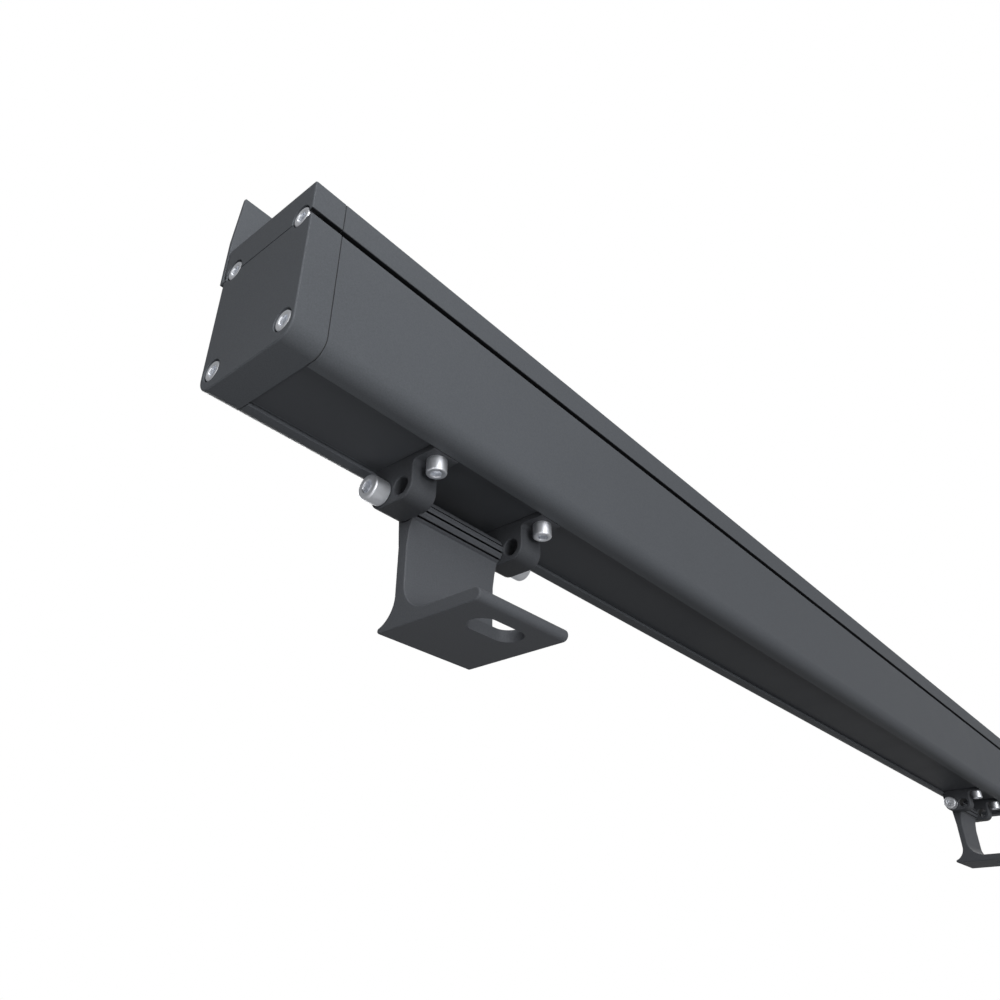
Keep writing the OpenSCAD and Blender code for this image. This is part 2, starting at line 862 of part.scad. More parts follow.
// LED boards, counted from the near end
module led_board(i) {
    color("#e9ebe6") translate([BOARD_X[i], 0, shelf_top]) difference() {
        translate([-board_len / 2, -board_w / 2, 0]) cube([board_len, board_w, board_t]);
        for (side = [-1, 1], y = [-board_screw_y, board_screw_y])
            translate([side * (board_len / 2 - board_screw_in), y, -overrun])
                cylinder(h = board_t + 2 * overrun, r = small_screw_r + thread_fit);
    }
}

module led_board_1() { led_board(0); }
module led_board_2() { led_board(1); }
module led_board_3() { led_board(2); }
module led_board_4() { led_board(3); }

module leds(i) {
    color("#f2e3a0") for (x = LED_X) translate([BOARD_X[i] + x, 0, board_top]) {
        translate([-led_w / 2, -led_w / 2, 0]) cube([led_w, led_w, led_h]);
        translate([0, 0, led_h]) intersection() {
            sphere(r = led_dome_r);
            cylinder(h = 2 * led_dome_r, r = 2 * led_dome_r);
        }
    }
}

module leds_1() { leds(0); }
module leds_2() { leds(1); }
module leds_3() { leds(2); }
module leds_4() { leds(3); }

// Lens strip: a plate on two rails, with one round lens over each LED
module lens_strip(i) {
    color("#eef3f5") translate([BOARD_X[i], 0, 0]) difference() {
        union() {
            along(-strip_len / 2, strip_len / 2) {
                both_sides(strip_half - strip_rail_t, strip_half, board_top, strip_plate_z + strip_plate_t);
                band(strip_half, strip_plate_z, strip_plate_z + strip_plate_t);
            }
            for (x = LED_X) translate([x, 0, lens_low]) cylinder(h = lens_h, r1 = lens_low_r, r2 = lens_r);
        }
        for (x = LED_X) translate([x, 0, lens_low - overrun])
            cylinder(h = lens_cup_d + overrun, r = lens_cup_r);
    }
}

module lens_strip_1() { lens_strip(0); }
module lens_strip_2() { lens_strip(1); }
module lens_strip_3() { lens_strip(2); }
module lens_strip_4() { lens_strip(3); }

module board_screws() {
    color("#c9ccd0") for (at = BOARD_SCREWS) translate([at.x, at.y, board_top])
        pan_screw(small_screw_r, board_screw_len, small_head_r, small_head_h);
}

// Bridging connectors from board 1 to 2 and from board 3 to 4
module board_links() {
    color("#e8e8e8") for (side = [-1, 1])
        translate([side * board_step - link_len / 2, -link_w / 2, board_top])
            cube([link_len, link_w, link_h]);
}

module gear_tray() {
    long = body_len - 2 * tray_end_gap;
    color("#b9bcc0") translate([0, 0, tray_z]) difference() {
        translate([-long / 2, -tray_half, 0]) cube([long, 2 * tray_half, tray_t]);
        for (x = GEAR_SCREWS) translate([x, 0, -overrun])
            cylinder(h = tray_t + 2 * overrun, r = gear_screw_r + thread_fit);
        translate([earth_screw_x, earth_y, -overrun])
            cylinder(h = tray_t + 2 * overrun, r = gear_screw_r + thread_fit);
    }
}

// Potted LED driver with a screw ear at each end
module driver(x) {
    color("#d5d7d9") translate([x, 0, tray_top]) difference() {
        union() {
            translate([-driver_len / 2, -driver_w / 2, 0]) cube([driver_len, driver_w, driver_h]);
            translate([-driver_len / 2 - ear_len, -driver_w / 4, 0])
                cube([driver_len + 2 * ear_len, driver_w / 2, ear_t]);
        }
        for (side = [-1, 1]) translate([side * (driver_face + ear_len / 2), 0, -overrun])
            cylinder(h = ear_t + 2 * overrun, r = gear_screw_r + hole_fit);
    }
}

module near_driver() { driver(-driver_off); }
module far_driver() { driver(driver_off); }

module driver_screws() {
    color("#c9ccd0") for (x = GEAR_SCREWS) translate([x, 0, tray_top + ear_t])
        pan_screw(gear_screw_r, gear_screw_len, gear_head_r, gear_head_h);
}

module terminal_block() {
    color("#efefec") translate([terminal_face_x, -terminal_w / 2, tray_top]) difference() {
        union() {
            cube([terminal_len, terminal_w, terminal_step_h]);
            translate([terminal_len / 4, 0, 0]) cube([terminal_len / 2, terminal_w, terminal_h]);
        }
        for (pole = [-1, 0, 1])
            translate([terminal_len / 2, terminal_w / 2 + pole * terminal_pole_gap, terminal_step_h])
                cylinder(h = terminal_h, r = gear_screw_r);
    }
}

// Live and neutral leads from the terminal block to both drivers
module mains_leads() {
    color("#7a4a2a") for (i = [0, 1]) {
        level = lead_z - i * lead_step;
        wire([
            [terminal_face_x, -terminal_pole_gap, level],
            [terminal_face_x - lead_bend, -terminal_pole_gap, level],
            [terminal_face_x - lead_bend, -lead_side_y, level],
            [driver_face + lead_bend - driver_off, -lead_side_y, level],
            [driver_face + lead_bend - driver_off, -terminal_pole_gap, level],
            [driver_face - driver_off, -terminal_pole_gap, level],
        ], lead_r);
        wire([[terminal_face_x, 0, level], [driver_off + driver_face, 0, level]], lead_r);
    }
}

// Output leads from each driver up through the shelf to a board
module led_leads() {
    color("#b03030") for (side = [-1, 1], y = [-lead_step / 2, lead_step / 2])
        wire([
            [side * (driver_off + driver_face), y, led_lead_z],
            [side * led_lead_x, y, led_lead_z],
            [side * led_lead_x, y, shelf_top],
        ], lead_r);
}

module earth_lead() {
    color("#8aa83a") {
        wire([
            [terminal_face_x, earth_y, lead_z],
            [terminal_face_x - earth_run, earth_y, lead_z],
            [terminal_face_x - earth_run, earth_y, tray_top],
        ], lead_r);
        translate([earth_screw_x, earth_y, tray_top]) {
            ring(earth_ring_r, gear_screw_r + slide_fit, earth_ring_t);
            translate([earth_ring_r - lead_r, -lead_r, 0])
                cube([earth_tab + 2 * lead_r - earth_ring_r, 2 * lead_r, earth_ring_t]);
        }
    }
}

module earth_screw() {
    color("#c9ccd0") translate([earth_screw_x, earth_y, tray_top + earth_ring_t])
        pan_screw(gear_screw_r, gear_screw_len, gear_head_r, gear_head_h);
}

module cable_gland() {
    color("#2a2b2d") at_far_end() translate([0, 0, gland_z]) lying() difference() {
        union() {
            translate([0, 0, -gland_flange_t])
                cylinder(h = gland_flange_t, r = gland_af * hex_share, $fn = 6);
            translate([0, 0, -gland_flange_t - gland_neck_t]) cylinder(h = gland_neck_t, r = gland_neck_r);
            cylinder(h = cap_face_t + gland_lock_t + nut_tail, r = gland_thread_r);
        }
        translate([0, 0, -gland_flange_t - gland_neck_t - overrun])
            cylinder(h = gland_reach + cap_face_t + gland_lock_t, r = gland_bore_r);
    }
}

module gland_seal() {
    color("#111111") at_far_end() translate([0, 0, gland_z]) lying()
        translate([0, 0, -gland_flange_t - gland_neck_t]) ring(seal_r, cable_r, seal_len);
}

module gland_nut() {
    color("#2a2b2d") at_far_end() translate([0, 0, gland_z]) lying() difference() {
        translate([0, 0, -gland_reach]) cylinder(h = gland_cap_t, r = gland_af * hex_share, $fn = 6);
        translate([0, 0, gland_mouth_t - gland_reach])
            cylinder(h = gland_cap_t, r = gland_cap_bore_r);
        translate([0, 0, -gland_reach - overrun]) cylinder(h = gland_cap_t, r = gland_bore_r);
    }
}

module gland_lock_nut() {
    color("#c9ccd0") at_far_end() translate([cap_face_t, 0, gland_z]) lying()
        hex_ring(gland_af, gland_thread_r + thread_fit, gland_lock_t);
}

module vent_plug() {
    color("#1f2022") at_far_end() translate([0, 0, vent_z]) lying() difference() {
        union() {
            translate([0, 0, -vent_head_t]) cylinder(h = vent_head_t, r = vent_af * hex_share, $fn = 6);
            cylinder(h = cap_face_t + vent_nut_t + nut_tail, r = vent_thread_r);
        }
        cylinder(h = cap_face_t + vent_nut_t + nut_tail + overrun, r = vent_bore_r);
    }
}

module vent_nut() {
    color("#c9ccd0") at_far_end() translate([cap_face_t, 0, vent_z]) lying()
        hex_ring(vent_af, vent_thread_r + thread_fit, vent_nut_t);
}

placed() housing();
placed() near_end_cap();
placed() far_end_cap();
placed() near_cap_gasket();
placed() far_cap_gasket();
placed() near_cap_screws();
placed() far_cap_screws();
placed() cover_glass();
placed() glass_gasket();
placed() visor();
placed() near_outer_lug();
placed() near_inner_lug();
placed() far_inner_lug();
placed() far_outer_lug();
placed() lug_screws();
placed() lug_washers();
placed() near_bracket();
placed() far_bracket();
placed() near_pivot_screws();
placed() far_pivot_screws();
placed() near_pivot_washers();
placed() far_pivot_washers();
placed() near_friction_discs();
placed() far_friction_discs();
placed() pivot_sleeves();
placed() led_board_1();
placed() led_board_2();
placed() led_board_3();
placed() led_board_4();
placed() leds_1();
placed() leds_2();
placed() leds_3();
placed() leds_4();
placed() lens_strip_1();
placed() lens_strip_2();
placed() lens_strip_3();
placed() lens_strip_4();
placed() board_screws();
placed() board_links();
placed() gear_tray();
placed() near_driver();
placed() far_driver();
placed() driver_screws();
placed() terminal_block();
placed() mains_leads();
placed() led_leads();
placed() earth_lead();
placed() earth_screw();
placed() cable_gland();
placed() gland_seal();
placed() gland_nut();
placed() gland_lock_nut();
placed() vent_plug();
placed() vent_nut();
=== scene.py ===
import math

import bmesh
import bpy
from mathutils import Matrix, Vector
from mathutils.geometry import tessellate_polygon


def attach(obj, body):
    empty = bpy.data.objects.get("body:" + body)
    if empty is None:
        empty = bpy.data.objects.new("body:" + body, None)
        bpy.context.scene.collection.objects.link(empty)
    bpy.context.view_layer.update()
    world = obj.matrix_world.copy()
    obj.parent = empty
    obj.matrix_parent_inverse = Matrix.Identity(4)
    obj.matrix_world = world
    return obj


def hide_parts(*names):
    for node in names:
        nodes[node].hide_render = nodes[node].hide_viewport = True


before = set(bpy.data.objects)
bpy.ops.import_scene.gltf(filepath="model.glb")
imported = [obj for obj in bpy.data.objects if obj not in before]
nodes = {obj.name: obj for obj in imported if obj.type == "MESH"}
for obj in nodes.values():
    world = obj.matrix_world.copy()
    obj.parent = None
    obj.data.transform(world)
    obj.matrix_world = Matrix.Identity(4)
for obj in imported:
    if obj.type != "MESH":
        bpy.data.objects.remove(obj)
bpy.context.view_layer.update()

# ---------------------------------------------------------------- camera
# The photograph is taken from below and in front of the near end, looking up along the light.
# Place, direction and lens were solved from the straight edges of the housing.
camera = bpy.data.objects.new("camera", bpy.data.cameras.new("camera"))
bpy.context.collection.objects.link(camera)
camera.data.sensor_fit = "HORIZONTAL"
camera.data.sensor_width = 36
camera.data.lens = 30.49
camera.data.clip_start = 0.01
camera_right = Vector((0.6444, -0.7647, 0.0040)).normalized()
camera_back = Vector((-0.6548, -0.5545, -0.5136)).normalized()
camera_up = camera_back.cross(camera_right)
camera_turn = Matrix((camera_right, camera_up, camera_back)).transposed().to_4x4()
camera.matrix_world = Matrix.Translation((-0.74495, -0.25155, -0.1472)) @ camera_turn
bpy.context.scene.camera = camera

# ---------------------------------------------------------------- housing
# One aluminium extrusion, powder coated dark grey, open at the top for the glass. It has a groove
# along each side and a shallow channel underneath with an undercut that holds the lugs.
# Sizes in mm: half width, height, half length, inner face of the side walls, low and high edge of the
# side groove, half width of the channel, radius of the lower edges, and the four screw ports.
HALF = 32
HIGH = 86.8
BODY = 582.75
RIM = 29
GROOVE = (66.4, 70)
CHANNEL = 19.65
CORNER = 8.5
PORT_Y = 24.2
PORT_Z = (10.4, 69.7)
PORT_R = 5.2
# Place in the frame, in mm, of the middle of the housing's underside
ORIGIN = (-10.15, -0.45, 74)
MM = 1000


def place(x, y, z):
    """Place in the frame, in metres, of a point given in mm from the middle of the underside."""
    return Vector((x + ORIGIN[0], y + ORIGIN[1], z + ORIGIN[2])) / MM


def arc(y, z, radius, start, end, steps=24):
    """Points on a circle, as sharp corners of an outline."""
    angles = [math.radians(start + (end - start) * i / steps) for i in range(steps + 1)]
    return [(y + radius * math.cos(a), z + radius * math.sin(a), 0) for a in angles]


def circle(y, z, radius, steps=64):
    """A closed round hole, running clockwise."""
    return [Vector(p[:2]) for p in arc(y, z, radius, 360, 0, steps)[:-1]]


def rounded(corners):
    """Outline through the corners (y, z, radius), with an arc at each corner that has a radius."""
    points = []
    for i, (y, z, radius) in enumerate(corners):
        here = Vector((y, z))
        if not radius:
            points.append(here)
            continue
        before = (Vector(corners[i - 1][:2]) - here).normalized()
        after = (Vector(corners[(i + 1) % len(corners)][:2]) - here).normalized()
        half = before.angle(after) / 2
        centre = here + (before + after).normalized() * radius / math.sin(half)
        spoke = here + before * radius / math.tan(half) - centre
        turn = math.pi - 2 * half
        if before.cross(after) > 0:
            turn = -turn
        steps = max(2, math.ceil(abs(turn) / math.radians(8)))
        for k in range(steps + 1):
            points.append(centre + Matrix.Rotation(turn * k / steps, 2) @ spoke)
    return points


def mesh_object(name, points, faces):
    mesh = bpy.data.meshes.new(name)
    mesh.from_pydata([tuple(p) for p in points], [], faces)
    mesh.validate()
    mesh.shade_smooth()
    piece = bpy.data.objects.new(name, mesh)
    bpy.context.collection.objects.link(piece)
    return piece


def extrusion(name, loops, start, end, first_edge=0, last_edge=None):
    """Solid along X with the outline loops (outer one first). The edges of its two ends are rounded
    by a radius in mm, or by a function that gives the radius at a point of the outline."""
    if last_edge is None:
        last_edge = first_edge
    steps = 4
    rings = [(start, first_edge, k) for k in range(steps, -1, -1)]
    rings += [(end, last_edge, k) for k in range(steps + 1)]
    points, faces, first = [], [], []
    for loop in loops:
        count = len(loop)
        inward = []
        for i in range(count):
            a = (loop[i] - loop[i - 1]).normalized()
            b = (loop[(i + 1) % count] - loop[i]).normalized()
            side = Vector((-a.y - b.y, a.x + b.x)).normalized()
            inward.append(side / max(0.5, side.dot(Vector((-b.y, b.x)))))
        base = len(points)
        first.append(base)
        for x, edge, k in rings:
            turn = math.pi / 2 * k / steps
            for p, n in zip(loop, inward):
                radius = edge(p) if callable(edge) else edge
                shift = radius * (1 - math.sin(turn))
                q = p + n * radius * (1 - math.cos(turn))
                points.append(place(x + (shift if x == start else -shift), q.x, q.y))
        for r in range(len(rings) - 1):
            for i in range(count):
                j = (i + 1) % count
                low, high = base + r * count, base + (r + 1) * count
                faces.append((low + i, low + j, high + j, high + i))
    for ring, towards in ((0, -1), (len(rings) - 1, 1)):
        index, flat = [], []
        for base, loop in zip(first, loops):
            corners = range(base + ring * len(loop), base + (ring + 1) * len(loop))
            index += corners
            flat.append([Vector((points[i].y, points[i].z, 0)) * MM for i in corners])
        for a, b, c in tessellate_polygon(flat):
            a, b, c = index[a], index[b], index[c]
            normal = (points[b] - points[a]).cross(points[c] - points[a])
            faces.append((a, b, c) if normal.x * towards > 0 else (a, c, b))
    return mesh_object(name, points, faces)


def bake(piece):
    """Applies the piece's modifiers to its mesh."""
    bpy.context.view_layer.update()
    done = piece.evaluated_get(bpy.context.evaluated_depsgraph_get())
    piece.data = bpy.data.meshes.new_from_object(done)
    piece.modifiers.clear()


def carve(piece, cutters):
    """Cuts the cutters out of the piece."""
    for cutter in cutters:
        step = piece.modifiers.new("cut", "BOOLEAN")
        step.operation = "DIFFERENCE"
        step.solver = "EXACT"
        step.object = cutter
    bake(piece)
    for cutter in cutters:
        bpy.data.objects.remove(cutter)


def fit(piece, made, slot, body, *replaced):
    """Shades the piece, keeps its flat faces flat, ties it to its body and hides the CAD nodes it stands in
    for.
    """
    piece.data.materials.clear()
    piece.data.materials.append(made)
    piece.data.shade_smooth()
    piece.data.set_sharp_from_angle(angle=math.radians(40))
    step = piece.modifiers.new("flat faces", "WEIGHTED_NORMAL")
    step.keep_sharp = True
    step.weight = 100
    bake(piece)
    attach(piece, body)
    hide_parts(*replaced)


def group(name, inputs, outputs):
    """An empty shader group with its sockets, each (name, kind, default)."""
    tree = bpy.data.node_groups.new(name, "ShaderNodeTree")
    for label, kind, default in inputs:
        socket = tree.interface.new_socket(label, in_out="INPUT", socket_type="NodeSocket" + kind)
        socket.default_value = default
    for label, kind in outputs:
        tree.interface.new_socket(label, in_out="OUTPUT", socket_type="NodeSocket" + kind)
    return tree, tree.nodes.new("NodeGroupInput"), tree.nodes.new("NodeGroupOutput")


def add(tree, kind, links=(), **values):
    """A node with values on its inputs (by name) or properties, and links (input, socket)."""
    node = tree.nodes.new("ShaderNode" + kind)
    for label, value in values.items():
        if hasattr(node, label):
            setattr(node, label, value)
        else:
            node.inputs[label.replace("_", " ")].default_value = value
    for label, source in links:
        tree.links.new(source, node.inputs[label])
    return node


def maths(tree, operation, a, b=None):
    node = tree.nodes.new("ShaderNodeMath")
    node.operation = operation
    for socket, value in zip(node.inputs, (a, b)):
        if value is None:
            continue
        if isinstance(value, (int, float)):
            socket.default_value = value
        else:
            tree.links.new(value, socket)
    return node.outputs[0]


def mixed(tree, factor, a, b, blend="MIX"):
    """Mixes two colours, each a tuple or a socket."""
    node = tree.nodes.new("ShaderNodeMix")
    node.data_type = "RGBA"
    node.blend_type = blend
    sockets = [s for s in node.inputs if s.type == "RGBA"]
    for socket, value in zip([node.inputs[0]] + sockets, (factor, a, b)):
        if isinstance(value, (int, float, tuple)):
            socket.default_value = value if isinstance(value, (int, float)) else (*value, 1)
        else:
            tree.links.new(value, socket)
    return [s for s in node.outputs if s.type == "RGBA"][0]


# Fine textured powder coat: a soft grain, a slight orange peel and faint cloudiness
coat, coat_in, coat_out = group(
    "powder coat",
    [("Colour", "Color", (0.1, 0.1, 0.1, 1)), ("Roughness", "Float", 0.5), ("Relief", "Float", 1.0)],
    [("Colour", "Color"), ("Roughness", "Float"), ("Normal", "Vector")])
coat_place = add(coat, "TexCoord").outputs["Object"]
coat_grain = add(coat, "TexNoise", [("Vector", coat_place)], Scale=1500.0, Detail=2.0, Roughness=0.6)
coat_peel = add(coat, "TexNoise", [("Vector", coat_place)], Scale=420.0, Detail=1.0)
coat_cloud = add(coat, "TexNoise", [("Vector", coat_place)], Scale=22.0, Detail=3.0)
coat_shade = maths(coat, "ADD", maths(coat, "MULTIPLY", coat_grain.outputs["Fac"], 0.44),
                   maths(coat, "MULTIPLY", coat_cloud.outputs["Fac"], 0.10))
coat_shade = maths(coat, "ADD", coat_shade, 0.73)
coat_tone = add(coat, "CombineColor", [("Red", coat_shade), ("Green", coat_shade), ("Blue", coat_shade)])
coat_colour = mixed(coat, 1.0, coat_in.outputs["Colour"], coat_tone.outputs[0], "MULTIPLY")
coat.links.new(coat_colour, coat_out.inputs["Colour"])
coat_sheen = maths(coat, "MULTIPLY", maths(coat, "SUBTRACT", coat_cloud.outputs["Fac"], 0.5), 0.12)
coat.links.new(maths(coat, "ADD", coat_in.outputs["Roughness"], coat_sheen), coat_out.inputs["Roughness"])
coat_height = maths(coat, "MULTIPLY", coat_grain.outputs["Fac"], 0.5)
coat_height = maths(coat, "ADD", coat_height, coat_peel.outputs["Fac"])
coat_bump = add(coat, "Bump", [("Height", coat_height), ("Strength", coat_in.outputs["Relief"])],
                Distance=0.00005)
coat.links.new(coat_bump.outputs[0], coat_out.inputs["Normal"])


def material(name):
    made = bpy.data.materials.new(name)
    made.use_nodes = True
    return made, made.node_tree, made.node_tree.nodes["Principled BSDF"]


def powder_coat(name, colour, roughness, relief):
    made, tree, shader = material(name)
    grain = tree.nodes.new("ShaderNodeGroup")
    grain.node_tree = coat
    grain.inputs["Colour"].default_value = (*colour, 1)
    grain.inputs["Roughness"].default_value = roughness
    grain.inputs["Relief"].default_value = relief
    shader.inputs["Specular IOR Level"].default_value = 0.12
    tree.links.new(grain.outputs["Colour"], shader.inputs["Base Color"])
    tree.links.new(grain.outputs["Roughness"], shader.inputs["Roughness"])
    tree.links.new(grain.outputs["Normal"], shader.inputs["Normal"])
    return made


def paint_shade(made, colour, shade_mask):
    """Paints shade into a hollow: a darker colour where the mask is. The function gives its mask from the
    place on the piece, in mm.
    """
    tree = made.node_tree
    paint = tree.nodes["Principled BSDF"].inputs["Base Color"]
    spot = add(tree, "SeparateXYZ", [("Vector", add(tree, "TexCoord").outputs["Object"])])
    y = maths(tree, "SUBTRACT", maths(tree, "MULTIPLY", spot.outputs["Y"], MM), ORIGIN[1])
    z = maths(tree, "SUBTRACT", maths(tree, "MULTIPLY", spot.outputs["Z"], MM), ORIGIN[2])
    dark = mixed(tree, shade_mask(tree, y, z), paint.links[0].from_socket, colour)
    tree.links.new(dark, paint)


def within(tree, value, low, high):
    """1 between two limits, 0 outside them."""
    above, below = maths(tree, "GREATER_THAN", value, low), maths(tree, "LESS_THAN", value, high)
    return maths(tree, "MULTIPLY", above, below)


def channel_shade_mask(tree, y, z):
    """Mask for painted shade on the channel floor between its lips."""
    return maths(tree, "MULTIPLY", within(tree, y, 0.15 - CHANNEL, CHANNEL - 0.15), within(tree, z, 1, 4))


def groove_shade_mask(tree, y, z):
    """Mask for painted shade: the grooves in both sides, a little in from the wall's face."""
    across = maths(tree, "ABSOLUTE", y)
    return maths(tree, "MULTIPLY", within(tree, across, RIM - 0.5, HALF - 0.4),
                 within(tree, z, GROOVE[0] - 0.1, GROOVE[1] + 0.1))


HOUSING_PAINT = powder_coat("housing paint", (0.105, 0.113, 0.125), 0.5, 0.35)
DEEP_SHADE = (0.02, 0.021, 0.023)
# Painted shade: the channel floor is painted darker, where shade falls between the lips.
paint_shade(HOUSING_PAINT, (0.075, 0.080, 0.089), channel_shade_mask)
# Painted shade: the side grooves are painted near black.
paint_shade(HOUSING_PAINT, DEEP_SHADE, groove_shade_mask)


def mirrored(corners):
    """The same corners on the other side of the middle plane, in the order that closes the loop."""
    return [(-y, z, r) for y, z, r in reversed(corners)]


wall_side = [
    (HALF, GROOVE[0], 0.35), (RIM, GROOVE[0], 0.25), (RIM, GROOVE[1], 0.25), (HALF, GROOVE[1], 0.35),
    (HALF, HIGH, 1), (RIM, HIGH, 0.5), (RIM, 80.3, 0.3), (24, 80.3, 0.5), (24, 77.3, 0.5), (RIM, 77.3, 0.3),
    (RIM, 73, 0), *arc(PORT_Y, PORT_Z[1], PORT_R, 39.4, 290.3), (26, 63.4, 0.3), (RIM, 63.4, 0.3),
    (RIM, 58, 0.3),
]
housing_outer = rounded([
    (-HALF, 0, CORNER), (-CHANNEL, 0, 0.4), (-CHANNEL, 2.8, 0.3), (21.15, 2.8, 0.3), (21.15, 1.3, 0.2),
    (CHANNEL, 1.3, 0.2), (CHANNEL, 0, 0.4), (HALF, 0, CORNER), *wall_side, *mirrored(wall_side)])
gear_side = [(RIM, 55, 0.5), (RIM, 12.4, 0), *arc(PORT_Y, PORT_Z[0], PORT_R, 22.6, 223.8)]
gear_space = rounded([*gear_side, *mirrored(gear_side)])
housing = extrusion("housing_shell", [housing_outer, gear_space], -BODY, BODY, 0.12)
fit(housing, HOUSING_PAINT, "housing_paint", "luminaire", "housing")

# ---------------------------------------------------------------- end caps
# Die-cast caps with the housing's outline, painted alike. Four counterbores take the screws, and a
# fine slit joins the upper two. The far cap, which the photograph doesn't show, also takes the gland.
# Sizes in mm: half length over the caps, screw places, depth of the screw heads' seats, and the heights
# of the gland and the vent.
END = 600
CAP_PORTS = [(y, z) for y in (-PORT_Y, PORT_Y) for z in PORT_Z]
SUNK = 6.3
GLAND_Z = 28
VENT_Z = 54
CAP_PAINT = powder_coat("cap paint", (0.105, 0.113, 0.125), 0.52, 0.45)
# Painted shade, near black, in the cap's part of the side grooves.
paint_shade(CAP_PAINT, DEEP_SHADE, groove_shade_mask)
cap_side = [
    (HALF, GROOVE[0], 0), (RIM, GROOVE[0], 0), (RIM, GROOVE[1], 0), (HALF, GROOVE[1], 0), (HALF, HIGH, 1)]
cap_outline = rounded([(-HALF, 0, CORNER), (HALF, 0, CORNER), *cap_side, *mirrored(cap_side)])


def bar(low_y, low_z, high_y, high_z):
    return [Vector(p) for p in ((low_y, low_z), (high_y, low_z), (high_y, high_z), (low_y, high_z))]


def lathe(name, rings, seats, direction, spin=0):
    """Turned solids, one at each seat. Rings are (height, radius or key size, flats) from the low
    end to the high end: with 6 flats the radius is half the size across flats. Where the last ring
    is the first one again, the solid is a ring. Spin turns the flats about the axis."""
    steps = 96
    closed = rings[0] == rings[-1]
    count = len(rings) - closed
    turn = Vector((0, 0, 1)).rotation_difference(direction).to_matrix()
    points, faces, local = [], [], []
    for seat in seats:
        base = len(points)
        for height, radius, flats in rings[:count]:
            for i in range(steps):
                angle = 2 * math.pi * i / steps
                reach = radius
                if flats:
                    part = 2 * math.pi / flats
                    reach = radius / math.cos((angle - spin + part / 2) % part - part / 2)
                p = Vector((reach * math.cos(angle), reach * math.sin(angle), height))
                local.append(p)
                points.append(place(*seat) + turn @ p / MM)
        for r in range(len(rings) - 1):
            low, high = base + r * steps, base + (r + 1) % count * steps
            for i in range(steps):
                j = (i + 1) % steps
                faces.append((low + i, low + j, high + j, high + i))
        if not closed:
            faces.append([base + i for i in reversed(range(steps))])
            faces.append([base + (count - 1) * steps + i for i in range(steps)])
    piece = mesh_object(name, points, faces)
    lines = piece.data.attributes.new("local", "FLOAT_VECTOR", "POINT")
    for spot, p in zip(lines.data, local):
        spot.vector = p
    return piece


def counterbore(radius, deep, edge):
    """Rings of a cutter for a round hole from an outer face inwards, with a rounded mouth."""
    mouth = [(-edge + edge * math.sin(a), radius + edge * (1 - math.cos(a)), 0)
             for a in (math.radians(22.5 * k) for k in range(5))]
    return [(-deep, radius, 0), *mouth, (1, radius + edge, 0)]


def behind(side, outer, inner):
    """Two depths behind a cap's outer face as places along X, lowest first."""
    return sorted(side * (END - depth) for depth in (outer, inner))


for side, name in ((-1, "near"), (1, "far")):
    edges = (0.8, 0.12) if side < 0 else (0.12, 0.8)
    cap = extrusion(name + "_cap", [cap_outline], *behind(side, 0, 16.75), *edges)
    outwards = Vector((side, 0, 0))
    cutters = [lathe("cut", counterbore(5.65, SUNK, 0.2), [(side * END, y, z)], outwards)
               for y, z in CAP_PORTS]
    cutters.append(extrusion("cut", [bar(-20, 67.15, 20, 67.85)], *behind(side, -1, 2.2)))
    cutters.append(extrusion("cut", [bar(-18, 14, 18, 60)], *behind(side, 4, 18)))
    if side > 0:
        cutters.append(lathe("cut", counterbore(10, 5, 0.3), [(END, 0, GLAND_Z)], outwards))
        cutters.append(lathe("cut", counterbore(6, 5, 0.3), [(END, 0, VENT_Z)], outwards))
    carve(cap, cutters)
    fit(cap, CAP_PAINT, "cap_paint", "luminaire", name + "_end_cap")

# ---------------------------------------------------------------- cap gaskets
# Thin black rubber gaskets squeezed between the caps and the housing, set back a little so that the
# joint shows as a fine dark line.


def moulded(name, colour, roughness, scale, relief, tint=0.12):
    """Rubber or moulded plastic: faint mottling and a fine skin texture of the given scale."""
    made, tree, shader = material(name)
    spot = add(tree, "TexCoord").outputs["Object"]
    skin = add(tree, "TexNoise", [("Vector", spot)], Scale=scale, Detail=3.0)
    cloud = add(tree, "TexNoise", [("Vector", spot)], Scale=60.0, Detail=2.0)
    darker = tuple(c * (1 - tint) for c in colour)
    lighter = tuple(min(1, c * (1 + tint)) for c in colour)
    tree.links.new(mixed(tree, cloud.outputs["Fac"], darker, lighter), shader.inputs["Base Color"])
    rough = maths(tree, "ADD", maths(tree, "MULTIPLY", skin.outputs["Fac"], 0.15), roughness - 0.07)
    tree.links.new(rough, shader.inputs["Roughness"])
    bump = add(tree, "Bump", [("Height", skin.outputs["Fac"])], Strength=relief, Distance=0.00008)
    tree.links.new(bump.outputs[0], shader.inputs["Normal"])
    return made


def dress(made, *names):
    """Gives the carried-over CAD nodes their material."""
    for name in names:
        for slot in nodes[name].material_slots:
            slot.material = made


RUBBER = moulded("sealing rubber", (0.018, 0.018, 0.019), 0.65, 1800.0, 0.5)
dress(RUBBER, "near_cap_gasket", "far_cap_gasket")

# ---------------------------------------------------------------- cap screws
# Stainless M6 socket head cap screws, sunk in the counterbores of the caps. The heads are turned,
# with a rounded rim and a hexagon socket.
turned, turned_in, turned_out = group(
    "turned steel",
    [("Roughness", "Float", 0.2)],
    [("Colour", "Color"), ("Roughness", "Float"), ("Normal", "Vector")])
turned_at = add(turned, "Attribute", attribute_name="local")
turned_xyz = add(turned, "SeparateXYZ", [("Vector", turned_at.outputs["Vector"])])


def length(tree, a, b):
    """Distance that two steps at a right angle reach."""
    total = maths(tree, "ADD", maths(tree, "POWER", a, 2.0), maths(tree, "POWER", b, 2.0))
    return maths(tree, "SQRT", total)


